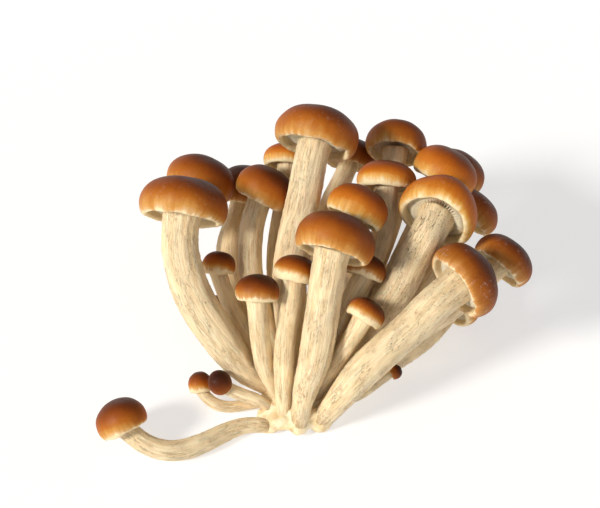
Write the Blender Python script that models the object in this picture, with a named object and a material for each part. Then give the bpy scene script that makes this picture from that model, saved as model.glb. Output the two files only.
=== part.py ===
"""A cluster of brown beech mushrooms, picked whole and lying on a table.

The cluster is set out as it grew: x runs across it, u up along it and v out of its front, in
millimetres from the middle of its front feet. It is then laid back, so that u climbs from the table
at LAID_BACK and v points up and forward. It rests on the flat cut face of its root, on the caps of
its rearmost mushrooms and on the small ones that sprout from its left side.

Every mushroom is two solids, a stem and a cap. Stems and caps push one another aside where they
would meet, as they do while the cluster grows, and give way mostly in depth.
"""

from dataclasses import dataclass
import math

import bmesh
import bpy
from mathutils import Matrix, Vector
import numpy as np

MM = 0.001
LAID_BACK = math.radians(45)
FRONT_FOOT_LIFT = 1.0  # height of the set-out's zero point above the table

# The root: a low mound with a flat underside.
ROOT_MIDDLE = (0.0, 17.0)
ROOT_HALF_WIDTH = 11.5
ROOT_HALF_DEPTH = 12.5
ROOT_HEIGHT = 3.6
ROOT_EDGE = 0.8
ROOT_BERTH = 1.5
ROOT_SIDES = 20
ROOT_TERRACES = 5

# How finely the solids are faceted.
BIG_CAP = 16.0
BIG_STEM = 6.0
CAP_SIDES = {True: 16, False: 12}
STEM_SIDES = {True: 10, False: 8}
RING_PITCH = 8.0
FEWEST_RINGS = 6
END_DOME = 0.25

# A cap's section, as shares of its radius and height.
DOME_ANGLES = (24, 44, 60, 75, 90)
DOME_FULLNESS = 0.86
WIDEST_LEVEL = 0.30
MARGIN = ((0.975, 0.14), (0.90, 0.0), (0.79, 0.05))
GILL_LEVEL = 0.12
SEAT_CONE = 0.3
SEAT_GAP = 0.35
NECK_RUN = 0.28

# Crowding: clearance kept between mushrooms, and how the pushing is worked out.
CLEARANCE = 0.7
TABLE_GAP = 0.15
FOOT_GIVE = 0.6
BALL_PITCH = 0.62
SHORTEST_PITCH = 1.1
PUSHES = 700
PUSH_SHARE = 0.45
NEIGHBOUR_REACH = 6.0
NEIGHBOURS_EVERY = 20


@dataclass(frozen=True)
class Mushroom:
    """One mushroom, in millimetres and degrees.

    seat is where the stem meets the cap, and way is the stem's course from its foot up to there.
    tilt leans the cap to the right, nod leans it towards the front, and saddle is how far the cap's
    margin lifts at front and back. girth is the stem's diameter at foot, belly and neck. give is how
    readily the mushroom is pushed sideways rather than in depth.
    """

    seat: tuple
    cap: tuple
    tilt: float
    nod: float
    way: tuple
    girth: tuple
    saddle: float = 0.0
    give: float = 0.12


MUSHROOMS = (
    # the two broad ones on the left
    Mushroom((-36.2, 63.8, 9), (26.4, 12.6), 9, -9,
             ((-8, 9, -7), (-17.4, 15.9, -1), (-25.4, 26.4, 3), (-33, 38.4, 6), (-36.6, 51, 8)),
             (6.0, 11.2, 10.4)),
    Mushroom((-31.2, 72, -15), (21.4, 11.8), 20, -4,
             ((-8, 20, -15), (-22, 27, -11), (-33, 41.4, -10), (-36.6, 58, -12)),
             (3.6, 7.0, 7.0), give=0.2),
    # small one between them and the next
    Mushroom((-26.1, 47.2, -3), (10.4, 6.6), 3, 4,
             ((-8, 15, -11), (-15, 23.4, -7), (-19.5, 31.8, -5), (-24, 40, -4)),
             (3.2, 5.2, 5.2)),
    Mushroom((-19.8, 69.6, -22), (18.4, 12.0), 9, 0,
             ((-7, 22, -17), (-16, 31, -16), (-21.2, 41.4, -18), (-24.2, 54, -20)),
             (3.6, 7.8, 7.8)),
    Mushroom((-12.8, 69.6, -8), (17.8, 10.6), 27, 8,
             ((-4.5, 15, -11), (-9.5, 23.4, -8), (-13, 34, -7), (-16.4, 45, -7), (-16.6, 56, -8)),
             (3.6, 7.4, 7.4)),
    Mushroom((-13.5, 39.5, 8), (13.0, 7.6), 2, 5,
             ((-6.8, 7.5, -3), (-9.3, 11.4, 0), (-11.7, 20.4, 4), (-12.6, 30, 7)),
             (3.0, 6.0, 6.2)),
    Mushroom((-5.8, 80.2, -16), (14.4, 7.4), 3, -12,
             ((-4.5, 19.5, -15), (-7.8, 30, -13), (-9, 41.4, -13), (-9.2, 53, -14), (-7.2, 67, -15)),
             (3.2, 5.4, 5.2)),
    # the tallest
    Mushroom((2.7, 85.2, -2), (25.6, 12.6), 15, -13,
             ((-2.6, 10, -8), (-4.4, 26, -5), (-4.8, 41.4, -3), (-3.7, 56, -2), (-0.6, 71, -2)),
             (5.0, 10.3, 9.4)),
    Mushroom((-3.4, 45.1, 5), (13.2, 7.8), 13, 0,
             ((-6.0, 2.2, 0.6), (-6.7, 9, 2), (-6.9, 18, 4), (-6.9, 26, 5), (-5, 35, 5)),
             (4.0, 6.5, 6.3)),
    # the foremost
    Mushroom((8.5, 52.4, 14), (23.6, 12.6), 16, -11,
             ((-2.2, 1.6, 1.2), (-0.5, 11.4, 6), (3, 22, 10), (4.5, 33, 12), (6.4, 43.4, 13.5)),
             (5.2, 9.7, 9.8)),
    Mushroom((15.2, 63.6, 2), (18.6, 10.6), 25, -5,
             ((0.2, 15, -10), (5.1, 18, -6), (9.9, 29.4, -3), (13.5, 43, 0), (14.1, 55, 1)),
             (3.6, 6.8, 7.0)),
    Mushroom((24.5, 73.0, -7), (17.8, 8.6), 4, -8,
             ((5.4, 17, -13), (8.1, 22, -11), (13.5, 35.4, -9), (19.5, 48, -8), (24.4, 62, -7)),
             (3.6, 7.0, 7.0)),
    Mushroom((15.4, 81.6, -24), (17.2, 9.0), 12, -10,
             ((0.4, 19, -15), (2.1, 28, -14), (3.9, 41.4, -14), (5.4, 56, -16), (8.4, 70, -18)),
             (3.4, 6.2, 6.2)),
    Mushroom((27.4, 83.6, -16), (19.0, 10.4), 12, -25,
             ((2.6, 23, -18), (9.9, 27, -17), (17.1, 38.4, -16), (24, 53.4, -16), (28.4, 69, -17)),
             (3.6, 7.0, 7.0)),
    Mushroom((41.4, 75.2, -10), (20.4, 11.2), 30, 3,
             ((4.8, 20, -15), (13.5, 25, -13), (24, 38.4, -13), (32, 54.9, -15), (37.6, 66.9, -13)),
             (3.6, 7.4, 7.6)),
    Mushroom((47.4, 76.2, -29), (18.6, 10.0), 34, -4,
             ((6.2, 23, -18), (15, 28, -19), (25, 42, -22), (38, 58, -26)),
             (3.6, 7.4, 7.4)),
    # broad one on the right, seen from below its cap
    Mushroom((39.2, 62.6, 5), (24.2, 12.6), 28, -34,
             ((3.6, 10, -8), (10.5, 18, -3), (18, 30.9, 1), (26.4, 42.9, 4), (34, 55, 5)),
             (5.0, 10.4, 10.6), saddle=1.4),
    Mushroom((50.4, 63.9, -21), (18.0, 9.4), 40, -6,
             ((8.6, 17, -13), (18, 26, -12), (31.5, 40, -13), (42, 54, -14)),
             (3.4, 6.4, 6.4), give=0.3),
    # thick one that leans furthest right
    Mushroom((44.2, 43.6, 12), (23.2, 12.2), 56, -15,
             ((4.8, 2.6, 0.6), (9.9, 9.2, 5), (15.5, 16.8, 9), (22.6, 24.2, 11), (33, 32.6, 12)),
             (7.2, 10.6, 11.0)),
    Mushroom((58.8, 48.6, -5), (19.2, 9.8), 42, -9,
             ((8.8, 13, -10), (20, 18, -9), (34, 27, -8), (48, 38, -6)),
             (3.4, 6.2, 6.4)),
    Mushroom((17.2, 46.2, 4), (12.4, 7.2), 20, -3,
             ((3.4, 14, -10), (6.5, 20, -5), (10.6, 30.9, 0), (14.6, 39.9, 3)),
             (3.0, 5.6, 5.8)),
    Mushroom((17.1, 33.2, 10), (11.8, 6.8), 30, -3,
             ((1.4, 7.2, -4), (5.2, 12.6, 1), (9.3, 19.5, 5), (13.5, 26.4, 8)),
             (2.4, 4.8, 5.8)),
    # stunted one under the right side
    Mushroom((26.4, 16.2, -9), (4.6, 3.4), 70, 0,
             ((10.4, 7.2, -4), (15, 8.4, -4.8), (21, 13, -7.4)),
             (2.4, 3.2, 2.8)),
    # rearmost ones, whose caps touch the table
    Mushroom((45.6, 36.4, -20), (17.6, 9.4), 50, -22,
             ((7.8, 9.4, -6), (15.5, 13.4, -8), (24.5, 18.8, -11), (33.2, 24, -14), (40, 29.6, -17)),
             (4.6, 8.2, 8.2)),
    Mushroom((9, 47, -36), (23.0, 12.0), 8, -46,
             ((-1, 23.4, -19.6), (1, 30, -24), (5, 39, -30)),
             (4.0, 8.6, 8.6), give=0.5),
    Mushroom((-27, 31, -22), (15.0, 8.4), -42, -44,
             ((-8, 21, -18.6), (-12, 22, -19), (-19, 25.5, -20)),
             (3.4, 6.2, 6.2), give=0.4),
    # side shoots on the left: one lying along the table, and a pair of buttons
    Mushroom((-53.0, 1.4, 10.4), (15.4, 9.6), -27, 5,
             ((-10.6, 0.6, 0.8), (-18.3, 1.2, 1.4), (-24.3, -1.4, 4.2), (-30.3, -4.2, 7.2),
              (-36.4, -6.0, 9.4), (-42, -6.0, 10.0), (-47.6, -3.8, 10.4)),
             (4.4, 6.4, 6.4)),
    Mushroom((-31.4, 11.4, -3.6), (7.4, 6.0), -8, 6,
             ((-10.8, 8, -4.8), (-17, 7.6, -5.4), (-22.4, 5.6, -4.2), (-27, 5.4, -3.4), (-30.2, 8.2, -3.4)),
             (3.0, 3.8, 3.6)),
    Mushroom((-24.6, 13.6, 0.6), (7.2, 6.0), -28, 52,
             ((-9.2, 5.0, -0.6), (-11.8, 8.6, 0), (-16.4, 9.2, -0.4), (-21.4, 11, -1)),
             (3.0, 4.2, 4.0)),
)


def laid_down(point):
    """A point of the set-out, in millimetres, as a place on the table in metres."""
    x, u, v = point
    rise, back = math.sin(LAID_BACK), math.cos(LAID_BACK)
    return Vector((x, u * rise - v * back, u * back + v * rise + FRONT_FOOT_LIFT)) * MM


def mound_height(share):
    """The root's height, in millimetres, at a share of the way out from its middle to its edge."""
    rise = (ROOT_HEIGHT - ROOT_EDGE) * (1 + np.cos(np.pi * np.minimum(share, 1.0))) / 2
    return np.where(share <= 1.0, ROOT_EDGE + rise, 0.0)


def height_above_ground(points):
    """How far, in millimetres, an array of set-out points is above the table or the root on it."""
    rise, back = math.sin(LAID_BACK), math.cos(LAID_BACK)
    aside = (points[:, 0] - ROOT_MIDDLE[0]) / (ROOT_HALF_WIDTH + ROOT_BERTH)
    along = points[:, 1] * rise - points[:, 2] * back - ROOT_MIDDLE[1]
    share = np.sqrt(aside**2 + (along / (ROOT_HALF_DEPTH + ROOT_BERTH)) ** 2)
    return points[:, 1] * back + points[:, 2] * rise + FRONT_FOOT_LIFT - mound_height(share)


def cap_axis(mushroom):
    """The way the cap faces, as a unit vector of the set-out."""
    tilt, nod = math.radians(mushroom.tilt), math.radians(mushroom.nod)
    return np.array((math.sin(tilt) * math.cos(nod), math.cos(tilt) * math.cos(nod), math.sin(nod)))


def cap_side_ways(axis):
    """Two unit vectors square to a cap's axis: one across and one towards the front."""
    across = np.cross(axis, (0.0, 0.0, 1.0))
    across /= math.sqrt(float((across * across).sum()))
    return across, np.cross(across, axis) * -1.0


def spline_weights(knots, places):
    """How much each knot's point counts at each place, for a cubic through the points."""
    count = len(knots)
    weights = np.zeros((len(places), count))
    slopes = np.zeros((count, count))
    for i in range(count):
        low, high = max(i - 1, 0), min(i + 1, count - 1)
        slopes[i, high] += 1 / (knots[high] - knots[low])
        slopes[i, low] -= 1 / (knots[high] - knots[low])
    for row, place in enumerate(places):
        i = min(max(int(np.searchsorted(knots, place)) - 1, 0), count - 2)
        span = knots[i + 1] - knots[i]
        t = (place - knots[i]) / span
        weights[row, i] += 2 * t**3 - 3 * t**2 + 1
        weights[row, i + 1] += 3 * t**2 - 2 * t**3
        weights[row] += slopes[i] * span * (t**3 - 2 * t**2 + t)
        weights[row] += slopes[i + 1] * span * (t**3 - t**2)
    return weights


def stem_radius(mushroom, share):
    """The stem's radius at a share of its length: narrow at the foot, fullest below the middle."""
    foot, belly, neck = (d / 2 for d in mushroom.girth)
    swell = min(share / 0.45, 1.0)
    swell = swell * swell * (3 - 2 * swell)
    draw_in = max((share - 0.55) / 0.45, 0.0)
    return foot + (belly - foot) * swell + (neck - belly) * draw_in


class Growth:
    """One mushroom's moving shape while the cluster is crowded: its stem's points and its balls."""

    def __init__(self, mushroom):
        self.mushroom = mushroom
        self.axis = cap_axis(mushroom)
        seat = np.array(mushroom.seat, float)
        self.points = np.array([*mushroom.way, mushroom.seat], float)
        self.neck = -self.axis * NECK_RUN * mushroom.cap[0]
        route = np.vstack([self.points[:-1], seat + self.neck, seat])
        lengths = np.sqrt(((route[1:] - route[:-1]) ** 2).sum(axis=1))
        self.knots = np.concatenate([[0.0], np.cumsum(lengths)])
        self.length = float(self.knots[-1])
        self._fill_with_balls()

    def spine(self, places):
        """Points of the stem's centreline at these distances from its foot."""
        weights, fixed = self._weights(places)
        return weights @ self.points + fixed

    def _weights(self, places):
        full = spline_weights(self.knots, places)
        weights = full[:, :-1].copy()
        weights[:, -1] += full[:, -1]
        return weights, full[:, -2:-1] * self.neck

    def _fill_with_balls(self):
        mushroom, places, place = self.mushroom, [], 0.0
        while place < self.length:
            places.append(place)
            radius = stem_radius(mushroom, place / self.length)
            place += max(radius * BALL_PITCH, SHORTEST_PITCH)
        stem_radii = [stem_radius(mushroom, p / self.length) for p in places]
        weights, fixed = self._weights(places)
        offsets, cap_radii = self._cap_balls()
        on_seat = np.zeros((len(offsets), len(self.points)))
        on_seat[:, -1] = 1.0
        self.weights = np.vstack([weights, on_seat])
        self.fixed = np.vstack([fixed, offsets])
        self.radii = np.array([*stem_radii, *cap_radii])

    def _cap_balls(self):
        """Balls that fill the cap: one in the middle, a ring half way out and a ring in the margin."""
        width, height = self.mushroom.cap
        across, forward = cap_side_ways(self.axis)
        middle = height * (0.5 - GILL_LEVEL)
        offsets, radii = [self.axis * middle], [height * 0.5]
        for share, count, size in ((0.5, 8, 0.47), (1.0, 14, 0.33)):
            radius = height * size
            reach = width / 2 * share - radius * share
            level = height * (WIDEST_LEVEL - GILL_LEVEL) if share == 1.0 else middle
            for k in range(count):
                turn = 2 * math.pi * k / count
                way = across * math.cos(turn) + forward * math.sin(turn)
                offsets.append(self.axis * level + way * reach)
                radii.append(radius)
        return np.array(offsets), radii

    def balls(self):
        """Where this mushroom's balls are now."""
        return self.weights @ self.points + self.fixed

    def push(self, moves, touched):
        """Moves the stem's points and the cap as the pushes on its balls ask. The foot gives less."""
        pull = np.abs(self.weights) * touched[:, None]
        total = pull.sum(axis=0)
        shift = (pull[:, :, None] * moves[:, None, :]).sum(axis=0)
        shift /= np.maximum(total, 0.5)[:, None]
        shift[0] *= FOOT_GIVE
        self.points = self.points + shift * PUSH_SHARE


def crowd(growths):
    """Pushes the mushrooms apart, and up off the table, until they clear each other."""
    owner = np.concatenate([np.full(len(g.radii), i) for i, g in enumerate(growths)])
    radii = np.concatenate([g.radii for g in growths])
    ease = np.array([[g.mushroom.give, g.mushroom.give, 1.0] for g in growths])[owner]
    up = np.array((0.0, math.cos(LAID_BACK), math.sin(LAID_BACK)))
    first = second = None
    for step in range(PUSHES):
        centres = np.vstack([g.balls() for g in growths])
        if step % NEIGHBOURS_EVERY == 0:
            first, second = neighbours(centres, radii, owner)
        apart = centres[first] - centres[second]
        distance = np.maximum(np.sqrt((apart**2).sum(axis=1)), 1e-6)
        overlap = radii[first] + radii[second] + CLEARANCE - distance
        hit = overlap > 0
        a, b, way = first[hit], second[hit], apart[hit] / distance[hit][:, None]
        room = (ease[a] * way**2).sum(axis=1) + (ease[b] * way**2).sum(axis=1)
        size = (overlap[hit] / np.maximum(room, 0.05))[:, None]
        moves, touched = np.zeros_like(centres), np.zeros(len(centres))
        np.add.at(moves, a, size * ease[a] * way)
        np.add.at(moves, b, -size * ease[b] * way)
        np.add.at(touched, a, 1.0)
        np.add.at(touched, b, 1.0)
        sunk = np.maximum(radii + TABLE_GAP - height_above_ground(centres), 0.0)
        moves += sunk[:, None] * up
        touched += sunk > 0
        moves /= np.maximum(touched, 1.0)[:, None]
        start = 0
        for growth in growths:
            end = start + len(growth.radii)
            growth.push(moves[start:end], np.minimum(touched[start:end], 1.0))
            start = end


def neighbours(centres, radii, owner):
    """Pairs of balls of different mushrooms that are near each other."""
    firsts, seconds = [], []
    for i in range(len(centres) - 1):
        gap = centres[i + 1:] - centres[i]
        near = (gap**2).sum(axis=1) < (radii[i + 1:] + radii[i] + NEIGHBOUR_REACH) ** 2
        found = np.nonzero(near & (owner[i + 1:] != owner[i]))[0] + i + 1
        firsts.append(np.full(len(found), i))
        seconds.append(found)
    return np.concatenate(firsts), np.concatenate(seconds)


def new_object(name, shape, material):
    """A shaded object made from a finished bmesh."""
    bmesh.ops.recalc_face_normals(shape, faces=shape.faces)
    mesh = bpy.data.meshes.new(name)
    shape.to_mesh(mesh)
    shape.free()
    mesh.materials.append(material)
    mesh.shade_smooth()
    made = bpy.data.objects.new(name, mesh)
    bpy.context.scene.collection.objects.link(made)
    return made


def new_material(name, colour, roughness):
    """A plain Principled material."""
    material = bpy.data.materials.new(name)
    material.use_nodes = True
    shader = material.node_tree.nodes["Principled BSDF"]
    shader.inputs["Base Color"].default_value = (*colour, 1.0)
    shader.inputs["Roughness"].default_value = roughness
    shader.inputs["Metallic"].default_value = 0.0
    return material


def extrude_rim(shape, rim, places):
    """Extrudes an open rim of edges once and sets its new points, in the order of the old ones."""
    corners = list(rim)
    edges = [e for e in shape.edges if e.is_boundary]
    made = bmesh.ops.extrude_edge_only(shape, edges=edges)["geom"]
    fresh = {v for v in made if isinstance(v, bmesh.types.BMVert)}
    following = []
    for corner, place in zip(corners, places, strict=True):
        twin = next(e.other_vert(corner) for e in corner.link_edges if e.other_vert(corner) in fresh)
        twin.co = place
        following.append(twin)
    return following


def close_rim(shape, rim, tip):
    """Closes an open rim with a fan of triangles up to its tip."""
    cap = bmesh.ops.contextual_create(shape, geom=[e for e in shape.edges if e.is_boundary])["faces"]
    poked = bmesh.ops.poke(shape, faces=cap)["verts"]
    poked[0].co = tip
    return poked[0]


def lathed(rings, first_tip, last_tip):
    """A closed shape whose surface runs over rings of points, with a tip at either end."""
    shape = bmesh.new()
    sides = len(rings[0])
    made = bmesh.ops.create_circle(shape, cap_ends=True, cap_tris=True, radius=1.0, segments=sides)
    rim = [v for v in made["verts"] if v.is_boundary]
    rim.sort(key=lambda v: math.atan2(v.co.y, v.co.x) % (2 * math.pi))
    hub = next(v for v in made["verts"] if not v.is_boundary)
    hub.co = first_tip
    for corner, place in zip(rim, rings[0], strict=True):
        corner.co = place
    for ring in rings[1:]:
        rim = extrude_rim(shape, rim, ring)
    close_rim(shape, rim, last_tip)
    return shape


def build_stem(name, growth, material):
    """A stem: a tapering tube along the mushroom's centreline, from its foot to just under the cap."""
    mushroom = growth.mushroom
    sides = STEM_SIDES[mushroom.girth[1] >= BIG_STEM]
    top = growth.length - SEAT_GAP
    count = max(FEWEST_RINGS, round(top / RING_PITCH) + 1)
    places = [top * k / (count - 1) for k in range(count)]
    spine = [Vector(p) for p in growth.spine(places)]
    ways = [(spine[min(k + 1, count - 1)] - spine[max(k - 1, 0)]).normalized() for k in range(count)]
    ways[-1] = Vector(growth.axis)
    side = ways[0].orthogonal().normalized()
    rings = []
    for k, (middle, way) in enumerate(zip(spine, ways, strict=True)):
        side = (side - way * side.dot(way)).normalized()
        other = way.cross(side)
        radius = stem_radius(mushroom, k / (count - 1))
        turns = [2 * math.pi * n / sides for n in range(sides)]
        rings.append([laid_down(middle + (side * math.cos(t) + other * math.sin(t)) * radius)
                      for t in turns])
    foot_tip = laid_down(spine[0] - ways[0] * END_DOME)
    neck_tip = laid_down(spine[-1] + ways[-1] * END_DOME * 0.5)
    return new_object(name, lathed(rings, foot_tip, neck_tip), material)


def cap_section(mushroom):
    """The cap's section from crown to gills: (radius, height above the seat) of each ring."""
    width, height = mushroom.cap
    reach, floor = width / 2, -height * GILL_LEVEL
    widest = floor + height * WIDEST_LEVEL
    dome = floor + height - widest
    section = []
    for degrees in DOME_ANGLES:
        angle = math.radians(degrees)
        section.append((reach * math.sin(angle) ** DOME_FULLNESS, widest + dome * math.cos(angle)))
    section += [(reach * r, floor + height * h) for r, h in MARGIN]
    section.append((max(mushroom.girth[2] / 2 * 1.08, reach * 0.42), 0.0))
    return section


def build_cap(name, growth, material):
    """A cap: a dome with a margin rolled under it and a hollow underside, faced to its stem."""
    mushroom = growth.mushroom
    width, height = mushroom.cap
    seat, axis = growth.points[-1], growth.axis
    across, forward = cap_side_ways(axis)
    sides = CAP_SIDES[width >= BIG_CAP]
    rings = []
    for radius, level in cap_section(mushroom):
        ring = []
        for n in range(sides):
            turn = 2 * math.pi * n / sides
            lift = mushroom.saddle * -math.cos(2 * turn) * (2 * radius / width) ** 2
            out = across * math.cos(turn) + forward * math.sin(turn)
            ring.append(laid_down(seat + out * radius + axis * (level + lift)))
        rings.append(ring)
    crown = laid_down(seat + axis * height * (1 - GILL_LEVEL))
    hollow = laid_down(seat + axis * SEAT_CONE)
    return new_object(name, lathed(rings, crown, hollow), material)


def build_root(material):
    """The root: a low mound, round in plan, whose cut underside lies flat on the table."""
    shape = bmesh.new()
    made = bmesh.ops.create_circle(shape, cap_ends=True, radius=1.0, segments=ROOT_SIDES)
    rim = sorted(made["verts"], key=lambda v: math.atan2(v.co.y, v.co.x) % (2 * math.pi))

    def terrace(share, height):
        places = []
        for n in range(ROOT_SIDES):
            turn = 2 * math.pi * n / ROOT_SIDES
            places.append(Vector((ROOT_MIDDLE[0] + ROOT_HALF_WIDTH * share * math.cos(turn),
                                  ROOT_MIDDLE[1] + ROOT_HALF_DEPTH * share * math.sin(turn),
                                  height)) * MM)
        return places

    for corner, place in zip(rim, terrace(1.0, 0.0), strict=True):
        corner.co = place
    for k in range(ROOT_TERRACES):
        share = 1.0 - k / ROOT_TERRACES
        rim = extrude_rim(shape, rim, terrace(share, float(mound_height(share))))
    close_rim(shape, rim, Vector((*ROOT_MIDDLE, ROOT_HEIGHT)) * MM)
    return new_object("root", shape, material)


def clear_scene():
    """Removes every object that the file opened with."""
    for old in list(bpy.data.objects):
        bpy.data.objects.remove(old)


def main():
    """Builds the root, then each mushroom's stem and cap, with the root's cut face at the origin."""
    clear_scene()
    cap_skin = new_material("cap_skin", (0.36, 0.13, 0.03), 0.42)
    stem_flesh = new_material("stem_flesh", (0.82, 0.66, 0.42), 0.62)
    root_flesh = new_material("root_flesh", (0.70, 0.55, 0.32), 0.75)
    growths = [Growth(mushroom) for mushroom in MUSHROOMS]
    crowd(growths)
    made = [build_root(root_flesh)]
    for number, growth in enumerate(growths, start=1):
        made.append(build_stem(f"stem_{number:02d}", growth, stem_flesh))
        made.append(build_cap(f"cap_{number:02d}", growth, cap_skin))
    home = Matrix.Translation(Vector((-ROOT_MIDDLE[0], -ROOT_MIDDLE[1], 0.0)) * MM)
    for item in made:
        item.data.transform(home)


main()
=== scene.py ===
"""The finished look of a cluster of brown beech mushrooms, built over its CAD frame.

Every mushroom is made again over its two CAD solids: a stem of fibrous flesh, a cap whose margin
rolls under, and the gills inside the cap. One fused root takes up all the feet. A pale floor, a soft
key light from the front left and a camera that looks down on the cluster complete the scene.
"""

from collections.abc import Sequence
from dataclasses import dataclass, field
from enum import Enum
import logging
import math
from typing import Any

import bmesh
import bpy
from mathutils import Matrix, Vector, noise


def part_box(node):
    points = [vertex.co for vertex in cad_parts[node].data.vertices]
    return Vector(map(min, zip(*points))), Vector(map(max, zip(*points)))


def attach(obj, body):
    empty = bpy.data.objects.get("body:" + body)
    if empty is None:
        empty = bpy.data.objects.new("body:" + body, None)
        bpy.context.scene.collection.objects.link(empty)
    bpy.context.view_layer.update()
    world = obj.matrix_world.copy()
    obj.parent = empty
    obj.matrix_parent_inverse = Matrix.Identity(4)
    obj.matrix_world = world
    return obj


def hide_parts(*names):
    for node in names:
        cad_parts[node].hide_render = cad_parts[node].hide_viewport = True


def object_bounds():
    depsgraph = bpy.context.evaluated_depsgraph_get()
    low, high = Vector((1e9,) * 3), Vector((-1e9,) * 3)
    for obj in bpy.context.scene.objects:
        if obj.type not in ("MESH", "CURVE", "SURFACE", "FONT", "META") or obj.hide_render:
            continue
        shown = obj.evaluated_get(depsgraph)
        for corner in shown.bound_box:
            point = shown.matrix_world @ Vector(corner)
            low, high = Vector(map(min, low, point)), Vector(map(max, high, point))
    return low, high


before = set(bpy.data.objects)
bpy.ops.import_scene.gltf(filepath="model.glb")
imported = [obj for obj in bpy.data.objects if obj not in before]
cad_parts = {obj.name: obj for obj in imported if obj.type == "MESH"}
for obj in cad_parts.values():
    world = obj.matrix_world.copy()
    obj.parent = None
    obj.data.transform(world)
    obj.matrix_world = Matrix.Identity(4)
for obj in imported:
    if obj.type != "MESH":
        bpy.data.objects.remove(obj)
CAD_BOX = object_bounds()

Shape = bmesh.types.BMesh
Socket = bpy.types.NodeSocket
Material = bpy.types.Material

LOG = logging.getLogger("mushroom_cluster")
MM = 0.001
MERGE_WITHIN = 1e-6
FULL_TURN = 2 * math.pi
FRONT = Vector((0.0, -1.0, 1.0)).normalized()
# The side of each cap that is darkened as painted shade: the right and back, turned from the key light.
SHADE_PAINTED_SIDE = Vector((0.75, 0.45, 0.45)).normalized()
TABLE_CLEARANCE = 0.02 * MM
SENSOR_WIDTH = 36.0
STEPS_PER_BLADE = 4
MUSHROOM_COUNT = 29
BODY = "root"


class Tone(Enum):
    """How dark a cap has ripened, as a share from golden to dark chestnut."""

    GOLDEN = 0.05
    AMBER = 0.50
    BROWN = 0.74
    CHESTNUT = 0.92


class Slot(Enum):
    """The record's material slots."""

    CAP = "cap_skin"
    STEM = "stem_flesh"
    ROOT = "root_flesh"


@dataclass(frozen=True)
class Habit:
    """What sets one mushroom apart from its neighbours.

    Attributes:
        tone: How dark the cap is.
        bloom: How much pale bloom lies on the cap, from 0 to 1.
        scurf: How much brown scurf the stem carries, from 0 to 1.
        torn: Whether the foot was torn off and shows.
        edge: How far the cream of the margin climbs the cap, from 0 to 1.
    """

    tone: Tone = Tone.AMBER
    bloom: float = 0.0
    scurf: float = 0.4
    torn: bool = False
    edge: float = 0.15


HABITS = {
    1: Habit(Tone.AMBER, bloom=0.2, scurf=0.7, edge=0.3),
    3: Habit(Tone.AMBER, edge=1.0),
    4: Habit(Tone.BROWN),
    5: Habit(Tone.AMBER, edge=0.3),
    6: Habit(Tone.BROWN, edge=0.8),
    7: Habit(Tone.GOLDEN, edge=0.6),
    8: Habit(Tone.AMBER, bloom=0.2, scurf=0.6),
    9: Habit(Tone.AMBER, torn=True, edge=1.0),
    10: Habit(Tone.AMBER, scurf=0.7, torn=True, edge=0.1),
    11: Habit(Tone.GOLDEN, edge=0.4),
    12: Habit(Tone.GOLDEN, edge=0.7),
    13: Habit(Tone.BROWN),
    14: Habit(Tone.AMBER),
    15: Habit(Tone.GOLDEN, edge=0.2),
    16: Habit(Tone.AMBER, edge=0.3),
    17: Habit(Tone.GOLDEN, bloom=0.45, scurf=1.0, edge=0.15),
    18: Habit(Tone.AMBER, bloom=0.5, edge=0.3),
    19: Habit(Tone.BROWN, bloom=0.7, scurf=0.9, torn=True, edge=0.15),
    20: Habit(Tone.BROWN, bloom=0.3, edge=0.3),
    21: Habit(Tone.BROWN, edge=0.8),
    22: Habit(Tone.AMBER, bloom=0.2, edge=1.0),
    23: Habit(Tone.CHESTNUT),
    24: Habit(Tone.AMBER, scurf=0.9, edge=0.5),
    27: Habit(Tone.AMBER, scurf=0.6, torn=True, edge=0.5),
    28: Habit(Tone.AMBER, edge=0.9),
    29: Habit(Tone.CHESTNUT),
}


def seeded(number: int, salt: float) -> Vector:
    """Gives a fixed place in the noise for one mushroom.

    Args:
        number: The mushroom's number.
        salt: A different value for each use.

    Returns:
        An offset to add to noise coordinates.
    """
    return Vector((number * 7.31 + salt, number * 3.17 - salt * 2.0, number * 1.93 + salt * 5.0))


def smooth_step(low: float, high: float, value: float) -> float:
    """Eases from 0 at low to 1 at high.

    Args:
        low: Where the step starts.
        high: Where the step ends.
        value: The number to place.

    Returns:
        A number from 0 to 1.
    """
    share = min(max((value - low) / (high - low), 0.0), 1.0)
    return share * share * (3 - 2 * share)


def above_table(place: Vector) -> Vector:
    """Keeps a point from sinking into the table."""
    return Vector((place.x, place.y, max(place.z, TABLE_CLEARANCE)))


def meshed(name: str, shape: Shape) -> bpy.types.Mesh:
    """Turns a bmesh into a mesh.

    Args:
        name: The mesh's name.
        shape: The bmesh, which is freed.

    Returns:
        The mesh.
    """
    mesh = bpy.data.meshes.new(name)
    shape.to_mesh(mesh)
    shape.free()
    return mesh


def added(name: str, data: bpy.types.ID) -> bpy.types.Object:
    """Adds an object to the scene.

    Args:
        name: The object's name.
        data: Its mesh, lamp or camera.

    Returns:
        The object.
    """
    made = bpy.data.objects.new(name, data)
    bpy.context.scene.collection.objects.link(made)
    return made


def finish_piece(name: str, shape: Shape, material: Material,
                 nodes: Sequence[str] = ()) -> None:
    """Turns a finished bmesh into a piece of the visual model and reports it.

    Args:
        name: The piece's name.
        shape: The bmesh, which is freed.
        material: What the piece is made of.
        nodes: The CAD nodes that it stands for.
    """
    bmesh.ops.recalc_face_normals(shape, faces=shape.faces)
    if shape.calc_volume(signed=True) < 0:
        bmesh.ops.reverse_faces(shape, faces=shape.faces)
    mesh = meshed(name, shape)
    mesh.shade_smooth()
    mesh.materials.append(material)
    piece = added(name, mesh)
    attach(piece, BODY)
    if nodes:
        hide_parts(*nodes)
    LOG.info("%s: %d faces", name, len(mesh.polygons))


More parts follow.
